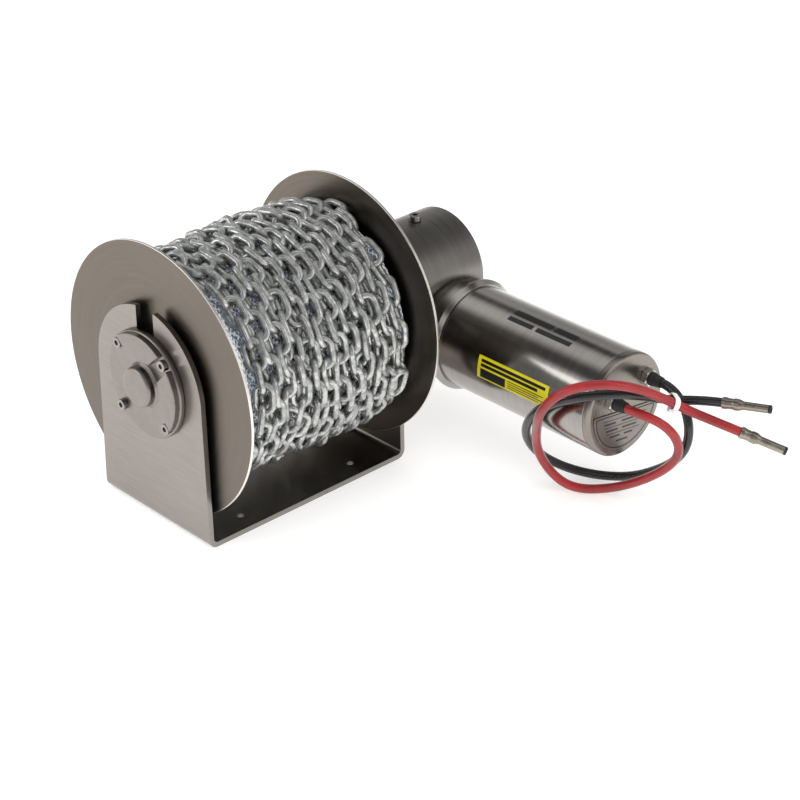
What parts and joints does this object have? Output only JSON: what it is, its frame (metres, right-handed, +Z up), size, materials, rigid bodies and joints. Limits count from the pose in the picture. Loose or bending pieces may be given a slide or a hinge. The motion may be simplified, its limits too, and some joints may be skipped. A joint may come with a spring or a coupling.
{
  "type": "anchor windlass",
  "caption": "Electric drum anchor winch: folded steel bracket, flanged drum wound with rope and chain, worm gearbox and motor along one side, two loose power leads.",
  "frame": {"origin": "centre of the bracket base's underside, on the deck plane, midway between the outer faces of its two upright plates", "axes": "+Z up from the deck, +Y along the drum axis from the bearing cap to the gearbox, +X towards the motor's free end"},
  "size_m": [0.54, 0.4137, 0.271],
  "materials": {
    "plate_steel": "satin brushed stainless",
    "cast_steel": "fine satin",
    "flange_steel": "spun satin",
    "gear_steel": "satin turned",
    "polished_steel": "mirror polish",
    "screw_steel": "bright",
    "machined_steel": "machined",
    "galvanised_chain": "hot-dip galvanised",
    "galvanised_link": "hot-dip galvanised",
    "bronze": "machined",
    "copper": "enamelled",
    "ferrite": "sintered",
    "carbon": "matt",
    "black_rubber": "matt",
    "rope": "braided",
    "red_vinyl": "glossy",
    "black_vinyl": "glossy",
    "tinned_metal": "tinned",
    "white_nylon": "semi-matt",
    "yellow_label": "printed film"
  },
  "bodies": {
    "frame": {"bracket": "plate_steel", "bearing_cap": "cast_steel", "rating_plate": "cast_steel", "gear_housing": "gear_steel", "gear_cover": "gear_steel", "drive_end_bell": "polished_steel", "motor_tube": "polished_steel", "motor_end_cap": "polished_steel", "cap_screw_1": "screw_steel", "cap_screw_2": "screw_steel", "cap_screw_3": "screw_steel", "cap_screw_4": "screw_steel", "output_bearing_front": "screw_steel", "output_bearing_rear": "screw_steel", "oil_plug": "screw_steel", "cover_screw_1": "screw_steel", "cover_screw_2": "screw_steel", "cover_screw_3": "screw_steel", "housing_screw_1": "screw_steel", "housing_screw_2": "screw_steel", "housing_screw_3": "screw_steel", "housing_screw_4": "screw_steel", "worm_bearing": "screw_steel", "drive_end_bearing": "screw_steel", "cap_end_bearing": "screw_steel", "gland_nut_red": "screw_steel", "gland_nut_black": "screw_steel", "near_bush": "bronze", "magnet_1": "ferrite", "magnet_2": "ferrite", "brush_plate": "carbon", "brush_1": "carbon", "brush_2": "carbon", "shaft_seal": "black_rubber", "boot_red": "black_rubber", "boot_black": "black_rubber", "power_cable_red": "red_vinyl", "power_cable_black": "black_vinyl", "connector_red": "tinned_metal", "connector_black": "tinned_metal", "cable_tie": "white_nylon", "tube_label": "yellow_label"},
    "drum": {"drum_flange_near": "flange_steel", "drum_flange_far": "flange_steel", "drum_core": "machined_steel", "drum_shaft": "polished_steel", "drum_hub_near": "machined_steel", "drum_hub_far": "machined_steel", "hub_key": "machined_steel", "wheel_key": "machined_steel", "worm_wheel": "bronze", "rope_winding": "rope", "chain_winding": "galvanised_chain", "chain_end_link": "galvanised_link"},
    "armature": {"motor_shaft": "machined_steel", "worm": "machined_steel", "armature_core": "machined_steel", "winding_front": "copper", "winding_rear": "copper", "commutator": "copper"}
  },
  "joints": [
    {"name": "drum_spin", "type": "hinge", "parent": "frame", "child": "drum", "pos_m": [0, 0, 0.141], "axis": [0, 1, 0], "continuous": true},
    {"name": "armature_spin", "type": "hinge", "parent": "frame", "child": "armature", "pos_m": [0, 0.213, 0.098], "axis": [1, 0, 0], "continuous": true}
  ],
  "couplings": [
    {"joint": "armature_spin", "follows": "drum_spin", "ratio": -30}
  ]
}
